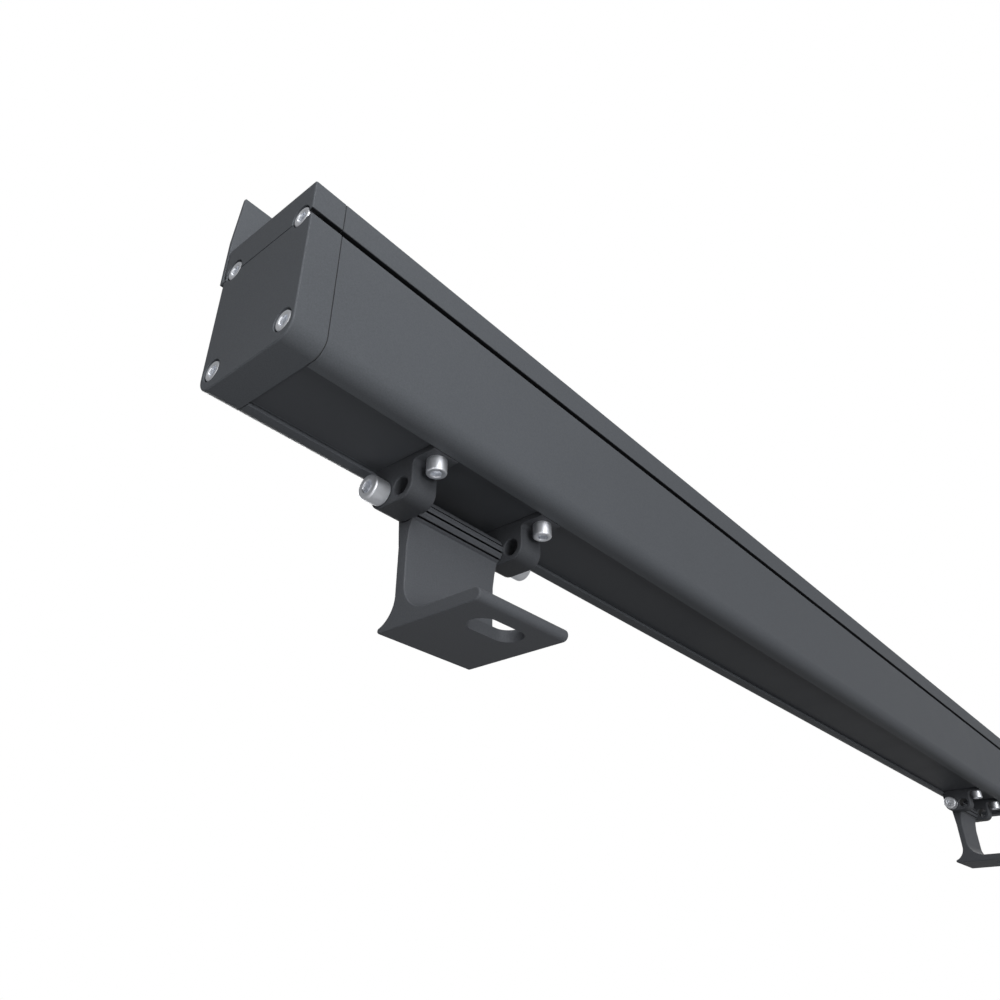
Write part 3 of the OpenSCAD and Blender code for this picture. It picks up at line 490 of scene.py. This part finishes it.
turned_r = length(turned, turned_xyz.outputs[0], turned_xyz.outputs[1])
turned_line = add(turned, "CombineXYZ", [("X", turned_r), ("Y", turned_xyz.outputs[2])])
turned_fine = add(turned, "TexNoise", [("Vector", turned_line.outputs[0])],
                  Scale=9.0, Detail=3.0, Roughness=0.7)
turned_spot = add(turned, "TexNoise", [("Vector", turned_at.outputs["Vector"])], Scale=0.9, Detail=3.0)
turned_mix = maths(turned, "MULTIPLY", turned_fine.outputs["Fac"], turned_spot.outputs["Fac"])
turned_colour = mixed(turned, turned_mix, (0.74, 0.76, 0.80), (0.86, 0.88, 0.92))
turned.links.new(turned_colour, turned_out.inputs["Colour"])
turned_rough = maths(turned, "MULTIPLY", turned_mix, 0.25)
turned_rough = maths(turned, "ADD", turned_in.outputs["Roughness"], turned_rough)
turned.links.new(turned_rough, turned_out.inputs["Roughness"])
turned_bump = add(turned, "Bump", [("Height", turned_fine.outputs["Fac"])], Strength=0.25, Distance=0.00002)
turned.links.new(turned_bump.outputs[0], turned_out.inputs["Normal"])


def turned_steel(name, roughness):
    made, tree, shader = material(name)
    lines = tree.nodes.new("ShaderNodeGroup")
    lines.node_tree = turned
    lines.inputs["Roughness"].default_value = roughness
    shader.inputs["Metallic"].default_value = 1
    tree.links.new(lines.outputs["Colour"], shader.inputs["Base Color"])
    tree.links.new(lines.outputs["Roughness"], shader.inputs["Roughness"])
    tree.links.new(lines.outputs["Normal"], shader.inputs["Normal"])
    return made


STAINLESS = turned_steel("stainless", 0.42)


def cap_screw(size, reach, flats):
    """Rings of a socket head cap screw: metric size, length of the shank and key size. The head has
    a rounded rim and a hexagon socket."""
    shank, high = size / 2, size
    wide = {6: 5, 8: 6.5}[size]
    edge = 0.12 * size
    rim = [(high - edge + edge * math.sin(a), wide - edge + edge * math.cos(a), 0)
           for a in (math.radians(15 * k) for k in range(7))]
    mouth, deep = flats / 2 / math.cos(math.pi / 6), high / 2
    return [(-reach, shank - 0.6, 0), (0.6 - reach, shank, 0), (-0.01, shank, 0), (0, wide - 0.03, 0),
            (0.03, wide, 0), *rim, (high, mouth + 0.3, 0), (high - 0.08, mouth + 0.15, 0),
            (high - 0.4, flats / 2, 6), (deep + 0.6, flats / 2, 6), (deep + 0.5, flats / 2 - 0.3, 0),
            (deep + 0.1, 0.2, 0)]


for side, name in ((-1, "near"), (1, "far")):
    seats = [(side * (END - SUNK), y, z) for y, z in CAP_PORTS]
    screws = lathe(name + "_cap_screw_set", cap_screw(6, 25, 5), seats, Vector((side, 0, 0)))
    fit(screws, STAINLESS, "stainless", "luminaire", name + "_cap_screws")

# ---------------------------------------------------------------- front glass and its gasket
# A pane of clear tempered glass over the lenses, laid on a rubber gasket on the ledge and held by
# sealant. Its ground edges look green.


def clear_material(name, colour, ior, shade):
    """Glass or clear plastic. Light passes it straight, so that it doesn't darken what is behind."""
    made, tree, shader = material(name)
    shader.inputs["Base Color"].default_value = (*colour, 1)
    shader.inputs["Metallic"].default_value = 0
    shader.inputs["Transmission Weight"].default_value = 1
    shader.inputs["IOR"].default_value = ior
    ray = add(tree, "LightPath")
    clear = add(tree, "BsdfTransparent", Color=(*shade, 1))
    blend = add(tree, "MixShader",
                [(0, ray.outputs["Is Shadow Ray"]), (1, shader.outputs[0]), (2, clear.outputs[0])])
    tree.links.new(blend.outputs[0], tree.nodes["Material Output"].inputs["Surface"])
    return made, tree, shader


PANE = 582.35
GLASS, tree, shader = clear_material("front glass", (0.96, 0.985, 0.975), 1.5, (0.93, 0.96, 0.95))
smear = add(tree, "TexNoise", [("Vector", add(tree, "TexCoord").outputs["Object"])], Scale=14.0, Detail=4.0)
smear = maths(tree, "MULTIPLY", maths(tree, "POWER", smear.outputs["Fac"], 3.0), 0.12)
tree.links.new(smear, shader.inputs["Roughness"])
pane_outline = rounded([(-28.75, 81.3, 0.4), (28.75, 81.3, 0.4), (28.75, 86.3, 0.4), (-28.75, 86.3, 0.4)])
pane = extrusion("front_pane", [pane_outline], -PANE, PANE, 0.4)
fit(pane, GLASS, "front_glass", "luminaire", "cover_glass")
dress(RUBBER, "glass_gasket")

# ---------------------------------------------------------------- visor
# Glare shield of extruded aluminium, painted like the housing. Its foot hooks into the groove on the
# back, and above the rim it leans in over the light opening. It runs over the caps from end to end.
VISOR_PAINT = powder_coat("visor paint", (0.118, 0.127, 0.140), 0.5, 0.35)
visor = extrusion("visor_blade", [rounded([
    (29.5, 66.45, 0.2), (34.9, 66.45, 0.5), (34.9, 94.65, 1.5), (30.7, 121.95, 0.6), (28.6, 121.95, 0.4),
    (32.8, 94.65, 1.5), (32.8, 67.85, 0.3), (30.7, 67.85, 0.2), (30.7, 69.95, 0.2), (29.5, 69.95, 0.2)])],
    -END, END, 0.3)
fit(visor, VISOR_PAINT, "visor_paint", "luminaire", "visor")

# ---------------------------------------------------------------- lugs
# Cast aluminium blocks, painted. The flange lies in the channel with its back tongue in the undercut,
# and the boss below it has two cross holes: one for the pivot screw, one spare.
LUG_PAINT = powder_coat("lug paint", (0.072, 0.076, 0.084), 0.5, 0.8)
# Sizes in mm: middle of each bracket along the light, middle of its lugs from there, half a lug's
# width, and the pivot's and spare hole's place across the light.
BRACKET_AT = 459.5
LUG_OFF = 40.4
LUG_HALF = 8.3
PIVOT = (14.5, -12)
SPARE_PIVOT = (2, -12)
LUGS = [side * BRACKET_AT + off for side in (-1, 1) for off in (-LUG_OFF, LUG_OFF)]
lug_outline = rounded([
    (-19.55, -0.5, 0.5), (-5.7, -0.5, 2.5), (-5.7, -19.7, 7.6), (22.2, -19.7, 7.6), (22.2, -0.5, 0.6),
    (19.55, -0.5, 0.2), (19.55, 1.4, 0.1), (21.05, 1.4, 0.2), (21.05, 2.8, 0.2), (-19.55, 2.8, 0.3)])
for x, name in zip(LUGS, ("near_outer_lug", "near_inner_lug", "far_inner_lug", "far_outer_lug")):
    loops = [lug_outline, circle(*SPARE_PIVOT, 4.6), circle(*PIVOT, 4.6)]
    lug = extrusion(name + "_casting", loops, x - LUG_HALF, x + LUG_HALF, 0.7)
    fit(lug, LUG_PAINT, "lug_paint", "luminaire", name)

# ---------------------------------------------------------------- lug screws and washers
# One stainless M6 cap screw with a flat steel washer goes up through the front of each flange into the
# housing, and clamps the lug in the channel.
WASHER_STEEL = turned_steel("washer steel", 0.36)


def washer(outer, inner, thick):
    """Rings of a flat washer with its edges broken."""
    return [(0, inner, 0), (0, outer - 0.05, 0), (0.05, outer, 0), (thick - 0.05, outer, 0),
            (thick, outer - 0.05, 0), (thick, inner, 0), (0, inner, 0)]


LUG_SCREW_Y = -13.2
down = Vector((0, 0, -1))
screws = lathe("lug_screw_set", cap_screw(6, 14, 5), [(x, LUG_SCREW_Y, -2.1) for x in LUGS], down)
fit(screws, STAINLESS, "stainless", "luminaire", "lug_screws")
rings = lathe("lug_washer_set", washer(4.95, 3.1, 1.6), [(x, LUG_SCREW_Y, -0.5) for x in LUGS], down)
fit(rings, WASHER_STEEL, "washer_steel", "luminaire", "lug_washers")

# ---------------------------------------------------------------- foot brackets
# Short lengths of an aluminium extrusion, painted: a grooved round knuckle on top, a web, and a foot
# plate with a rounded toe. One slot is milled in each foot for the mounting bolt.
# Sizes in mm: half width, underside and top of the foot plate, and the slot's middle and half size.
BRACKET_HALF = 31.7
FOOT = (-74, -67.7)
SLOT_Y = -15.8
SLOT = (16.5, 7.5)
BRACKET_PAINT = powder_coat("bracket paint", (0.099, 0.105, 0.116), 0.5, 0.4)


def knuckle_shade_mask(tree, y, z):
    """Mask for painted shade in the knuckle's grooves, between the bore and just under the lands of the
    knuckle.
    """
    reach = length(tree, maths(tree, "SUBTRACT", y, PIVOT[0]), maths(tree, "SUBTRACT", z, PIVOT[1]))
    return within(tree, reach, 5.5, 7.6)


# Painted shade: the knuckle's grooves are painted near black.
paint_shade(BRACKET_PAINT, (0.012, 0.013, 0.015), knuckle_shade_mask)


def end_outline(name, x):
    """Outline of a CAD node's end face at x, in mm, with its sharp corners eased."""
    plane = place(x, 0, 0).x
    solid = bmesh.new()
    solid.from_mesh(nodes[name].data)
    bmesh.ops.remove_doubles(solid, verts=solid.verts, dist=2e-6)
    at_end = {f for f in solid.faces if all(abs(v.co.x - plane) < 1e-5 for v in f.verts)}
    follow = {}
    for face in at_end:
        for corner in face.loops:
            if sum(f in at_end for f in corner.edge.link_faces) == 1:
                follow[corner.vert] = corner.link_loop_next.vert
    start = here = min(follow, key=lambda v: (v.co.z, v.co.y))
    loop = []
    while not loop or here != start:
        loop.append((here.co.y * MM - ORIGIN[1], here.co.z * MM - ORIGIN[2]))
        here = follow[here]
    solid.free()
    area = sum(a[0] * b[1] - b[0] * a[1] for a, b in zip(loop, loop[1:] + loop[:1]))
    if area < 0:
        loop.reverse()
    corners = []
    for i, here in enumerate(loop):
        before = Vector(here) - Vector(loop[i - 1])
        after = Vector(loop[(i + 1) % len(loop)]) - Vector(here)
        turn = before.angle(after)
        reach = min(before.length, after.length)
        room = 0.45 * reach / math.tan(turn / 2) if turn > 0.15 else 0
        corners.append((*here, min(0.2 if reach < 2.5 else 2, room)))
    return corners


def bracket_edge(point):
    """Rounding of the cut ends: small on the grooved knuckle, larger on the web and foot."""
    return 0.2 + 0.5 * min(1, max(0, (-22 - point.y) / 12))


for side, name in ((-1, "near"), (1, "far")):
    middle = side * BRACKET_AT
    outline = rounded(end_outline(name + "_bracket", middle + BRACKET_HALF))
    bracket = extrusion(name + "_bracket_profile", [outline], middle - BRACKET_HALF, middle + BRACKET_HALF,
                        bracket_edge)
    slot = rounded([(*p, SLOT[1] - 0.001) for p in bar(-SLOT[0], -SLOT[1], *SLOT)])
    cutter = extrusion("cut", [slot], -5, 5, 0)
    upright = Matrix(((0, 1, 0), (0, 0, 1), (1, 0, 0))).to_4x4()
    cutter.data.transform(Matrix.Translation(place(middle, SLOT_Y, -71)) @ upright
                          @ Matrix.Translation(-place(0, 0, 0)))
    carve(bracket, [cutter])
    rim = bmesh.new()
    rim.from_mesh(bracket.data)
    foot = [place(0, 0, z).z for z in FOOT]
    low = place(middle - SLOT[0] - 0.1, SLOT_Y - SLOT[1] - 0.1, 0)
    high = place(middle + SLOT[0] + 0.1, SLOT_Y + SLOT[1] + 0.1, 0)
    edges = [e for e in rim.edges if e.calc_face_angle(0) > 1.2
             and all(low.x < v.co.x < high.x and low.y < v.co.y < high.y for v in e.verts)
             and any(all(abs(v.co.z - z) < 1e-5 for v in e.verts) for z in foot)]
    bmesh.ops.bevel(rim, geom=edges, offset=0.0003, segments=2, profile=0.5, affect="EDGES",
                    clamp_overlap=False)
    rim.to_mesh(bracket.data)
    rim.free()
    fit(bracket, BRACKET_PAINT, "bracket_paint", name + "_foot", name + "_bracket")

# ---------------------------------------------------------------- pivots
# A stainless cap screw goes through each lug into the knuckle from outside, with a washer under its
# head and a friction disc beside the lug. A polymer sleeve in the lug's hole turns on it.
HEAD_SEAT = 50.1
for side, name in ((-1, "near"), (1, "far")):
    body = name + "_foot"
    for out, where in ((-1, "outer" if side < 0 else "inner"), (1, "inner" if side < 0 else "outer")):
        stack = (
            ("pivot_screw", cap_screw(8, 40, 6), 0, STAINLESS, "stainless"),
            ("pivot_washer", washer(6.35, 4.1, 0.6), 0.6, WASHER_STEEL, "washer_steel"),
            ("friction_disc", washer(6.45, 4.1, 0.5), 1.1, WASHER_STEEL, "washer_steel"))
        for kind, rings, under, steel, slot in stack:
            seat = (side * BRACKET_AT + out * (HEAD_SEAT - under), *PIVOT)
            piece = lathe(f"{name}_{where}_{kind}", rings, [seat], Vector((out, 0, 0)))
            fit(piece, steel, slot, body, f"{name}_{kind}s")
SLEEVE = moulded("sleeve polymer", (0.62, 0.58, 0.48), 0.45, 1500.0, 0.3)
dress(SLEEVE, "pivot_sleeves")

# ---------------------------------------------------------------- LED line
# Four aluminium-core boards with white solder mask on the shelf under the glass. Each has nine LEDs
# under a moulded strip of clear lenses, and white connectors link the boards.


def solder_mask():
    """White solder mask with the faint relief of the copper under it."""
    made, tree, shader = material("solder mask")
    spot = add(tree, "TexCoord").outputs["Object"]
    tracks = add(tree, "TexBrick", [("Vector", spot)],
                 Scale=140.0, Mortar_Size=0.03, Brick_Width=1.6, Row_Height=0.7)
    grain = add(tree, "TexNoise", [("Vector", spot)], Scale=900.0, Detail=2.0)
    tone = mixed(tree, tracks.outputs["Fac"], (0.80, 0.81, 0.79), (0.72, 0.74, 0.71))
    tree.links.new(mixed(tree, grain.outputs["Fac"], tone, (0.86, 0.87, 0.85)), shader.inputs["Base Color"])
    rough = maths(tree, "ADD", maths(tree, "MULTIPLY", grain.outputs["Fac"], 0.12), 0.26)
    tree.links.new(rough, shader.inputs["Roughness"])
    bump = add(tree, "Bump", [("Height", tracks.outputs["Fac"])], Strength=0.3, Distance=0.00003)
    tree.links.new(bump.outputs[0], shader.inputs["Normal"])
    return made


def clear_lens():
    """Clear moulded acrylic with slight flow marks."""
    made, tree, shader = clear_material("lens plastic", (0.98, 0.985, 0.99), 1.49, (0.92, 0.93, 0.94))
    spot = add(tree, "TexCoord").outputs["Object"]
    flow = add(tree, "TexNoise", [("Vector", spot)], Scale=160.0, Detail=2.0, Distortion=1.0)
    tree.links.new(maths(tree, "MULTIPLY", flow.outputs["Fac"], 0.12), shader.inputs["Roughness"])
    bump = add(tree, "Bump", [("Height", flow.outputs["Fac"])], Strength=0.15, Distance=0.0001)
    tree.links.new(bump.outputs[0], shader.inputs["Normal"])
    return made


BOARD = solder_mask()
LENS = clear_lens()
PHOSPHOR = moulded("phosphor", (0.85, 0.66, 0.16), 0.35, 2600.0, 0.2, 0.08)
for i in range(1, 5):
    dress(BOARD, f"led_board_{i}")
    dress(PHOSPHOR, f"leds_{i}")
    dress(LENS, f"lens_strip_{i}")
WHITE_PLASTIC = moulded("white plastic", (0.78, 0.78, 0.75), 0.4, 1400.0, 0.2, 0.04)
dress(WHITE_PLASTIC, "board_links", "terminal_block")


def plain_metal(name, low, high, roughness, scale, stretch):
    """Rolled or drawn metal with fine lines along the light."""
    made, tree, shader = material(name)
    spot = add(tree, "TexCoord").outputs["Object"]
    long = add(tree, "Mapping", [("Vector", spot)], Scale=stretch)
    line = add(tree, "TexNoise", [("Vector", long.outputs[0])], Scale=scale, Detail=3.0, Roughness=0.65)
    shader.inputs["Metallic"].default_value = 1
    tree.links.new(mixed(tree, line.outputs["Fac"], low, high), shader.inputs["Base Color"])
    rough = maths(tree, "ADD", maths(tree, "MULTIPLY", line.outputs["Fac"], 0.2), roughness - 0.1)
    tree.links.new(rough, shader.inputs["Roughness"])
    bump = add(tree, "Bump", [("Height", line.outputs["Fac"])], Strength=0.2, Distance=0.00003)
    tree.links.new(bump.outputs[0], shader.inputs["Normal"])
    return made


SMALL_STEEL = plain_metal("small screw steel", (0.5, 0.51, 0.53), (0.7, 0.71, 0.73), 0.3, 1500.0, (1, 1, 1))
dress(SMALL_STEEL, "board_screws", "driver_screws", "earth_screw", "gland_lock_nut", "vent_nut")

# ---------------------------------------------------------------- gear
# Inside the housing a sheet tray carries two drivers and the terminal block, with their leads. None
# of it shows from outside.
SHEET = plain_metal("tray sheet", (0.52, 0.53, 0.54), (0.68, 0.69, 0.70), 0.38, 700.0, (0.05, 1, 1))
CASE = plain_metal("driver case", (0.6, 0.61, 0.62), (0.72, 0.73, 0.74), 0.42, 900.0, (0.1, 1, 1))
dress(SHEET, "gear_tray")
dress(CASE, "near_driver", "far_driver")
dress(moulded("mains wire", (0.20, 0.08, 0.03), 0.5, 1200.0, 0.2), "mains_leads")
dress(moulded("led wire", (0.38, 0.03, 0.025), 0.5, 1200.0, 0.2), "led_leads")
dress(moulded("earth wire", (0.22, 0.36, 0.04), 0.5, 1200.0, 0.2), "earth_lead")

# ---------------------------------------------------------------- cable gland and vent
# Black nylon gland with its seal for the supply cable, and a pressure vent plug above it, both in the
# far cap. The nuts are hexagons with their corners turned off.
BLACK_PLASTIC = moulded("black nylon", (0.030, 0.030, 0.033), 0.42, 1600.0, 0.35)


def hexagon(low, high, half):
    """Rings of a hexagon between two heights, half its size across flats, with turned corners."""
    return [(low, half, 0), (low + 0.9, half, 6), (high - 0.9, half, 6), (high, half, 0)]


gland = [(-10.5, 6.5, 0), (-10.5, 9.9, 0), (0, 9.9, 0), *hexagon(0, 6, 12),
         (6, 8.7, 0), (15, 8.7, 0), (15, 6.5, 0)]
nut = [(6.3, 8.75, 0), *hexagon(6.3, 16.5, 12), (18.5, 11.2, 0), (19.7, 9.9, 0), (20.2, 8.4, 0),
       (20.3, 7.6, 0), (20.3, 6.9, 0), (20.05, 6.5, 0), (16.8, 6.5, 0), (16.8, 8.75, 0)]
vent = [(-9.5, 2, 0), (-9.5, 5.9, 0), (0, 5.9, 0), *hexagon(0, 5, 8), (5, 5.2, 0), (4.7, 5, 0), (4.7, 2, 0)]
fittings = (("cable_gland", gland, GLAND_Z), ("gland_nut", nut, GLAND_Z), ("vent_plug", vent, VENT_Z))
for name, rings, z in fittings:
    piece = lathe(name + "_moulding", rings + rings[:1], [(END, 0, z)], Vector((1, 0, 0)), math.pi / 6)
    fit(piece, BLACK_PLASTIC, "black_plastic", "luminaire", name)
dress(RUBBER, "gland_seal")

# ---------------------------------------------------------------- floor, lights and world
# Plain pale floor just under the feet. It shows its colour and the object's shadow only to a camera
# above it, and every other ray passes, so that the camera and the light from below reach the object.
# Away from the object it fades into the white of the backdrop.
floor_mesh = bpy.data.meshes.new("floor")
floor_corners = [(x, y, -0.0004) for x, y in ((-12, -12), (12, -12), (12, 12), (-12, 12))]
floor_mesh.from_pydata(floor_corners, [], [(0, 1, 2, 3)])
floor = bpy.data.objects.new("floor", floor_mesh)
bpy.context.collection.objects.link(floor)
FLOOR, tree, shader = material("floor")
shader.inputs["Base Color"].default_value = (0.86, 0.86, 0.86, 1)
shader.inputs["Roughness"].default_value = 0.9
shader.inputs["Specular IOR Level"].default_value = 0
shader.inputs["Emission Color"].default_value = (1, 1, 1, 1)
shader.inputs["Emission Strength"].default_value = 0.5
ray = add(tree, "LightPath")
side_seen = add(tree, "NewGeometry").outputs["Backfacing"]
away = add(tree, "VectorMath", [(0, add(tree, "TexCoord").outputs["Object"])], operation="LENGTH")
near = add(tree, "MapRange", [("Value", away.outputs["Value"])], interpolation_type="SMOOTHSTEP",
           From_Min=0.8, From_Max=2.2, To_Min=1.0, To_Max=0.0)
shown = maths(tree, "MULTIPLY", ray.outputs["Is Camera Ray"], maths(tree, "SUBTRACT", 1.0, side_seen))
shown = maths(tree, "MULTIPLY", shown, near.outputs[0])
clear = add(tree, "BsdfTransparent")
blend = add(tree, "MixShader", [(0, shown), (1, clear.outputs[0]), (2, shader.outputs[0])])
tree.links.new(blend.outputs[0], tree.nodes["Material Output"].inputs["Surface"])
floor_mesh.materials.append(FLOOR)


def lamp(name, at, aim, size, power):
    """Rectangular soft white light at a point in metres, aimed at another. Power is in watts."""
    light = bpy.data.lights.new(name, "AREA")
    light.shape = "RECTANGLE"
    light.size, light.size_y = size
    light.energy = power
    lamp_object = bpy.data.objects.new(name, light)
    bpy.context.collection.objects.link(lamp_object)
    lamp_object.visible_camera = False
    lamp_object.location = at
    lamp_object.rotation_mode = "QUATERNION"
    lamp_object.rotation_quaternion = (Vector(aim) - Vector(at)).to_track_quat("-Z", "Y")


lamp("key", (-1.8, -4.4, 1.5), (-0.2, 0, 0.1), (2.6, 2.6), 114)
lamp("front low", (-1.6, -4.4, -0.9), (-0.3, 0, 0), (2, 1.6), 74)
lamp("front near", (-0.72, -0.3, 0.33), (-0.6, -0.03, 0.11), (0.15, 0.15), 0.4)
lamp("end", (-4.6, -0.8, 0.6), (-0.5, 0, 0.1), (2, 2), 35)
lamp("below", (-0.45, -0.4, -2.6), (-0.4, 0, 0.1), (2.4, 2.4), 7.8)
lamp("below near", (-0.7, -0.06, -0.06), (-0.6, 0, 0.074), (0.1, 0.1), 0.065)
lamp("below foot", (-0.5, -0.12, -0.2), (-0.48, 0, 0), (0.15, 0.15), 0.09)
lamp("far end", (4.4, 0.7, 0.9), (0.5, 0, 0.1), (2, 2), 30)
lamp("back", (1.2, 4.6, 1.8), (0, 0, 0.1), (2.4, 2.4), 120)
lamp("top", (0.3, 0.4, 3.0), (0, 0, 0.1), (3, 2), 12)

world = bpy.data.worlds.new("studio")
bpy.context.scene.world = world
world.use_nodes = True
tree = world.node_tree
backdrop = tree.nodes["Background"]
backdrop.inputs["Color"].default_value = (1, 1, 1, 1)
ray = add(tree, "LightPath")
seen = maths(tree, "MAXIMUM", ray.outputs["Is Camera Ray"], ray.outputs["Is Transmission Ray"])
ambient = maths(tree, "MULTIPLY", ray.outputs["Is Glossy Ray"], 0.28)
strength = maths(tree, "MAXIMUM", seen, ambient)
tree.links.new(strength, backdrop.inputs["Strength"])
bpy.context.scene.view_settings.view_transform = "Standard"
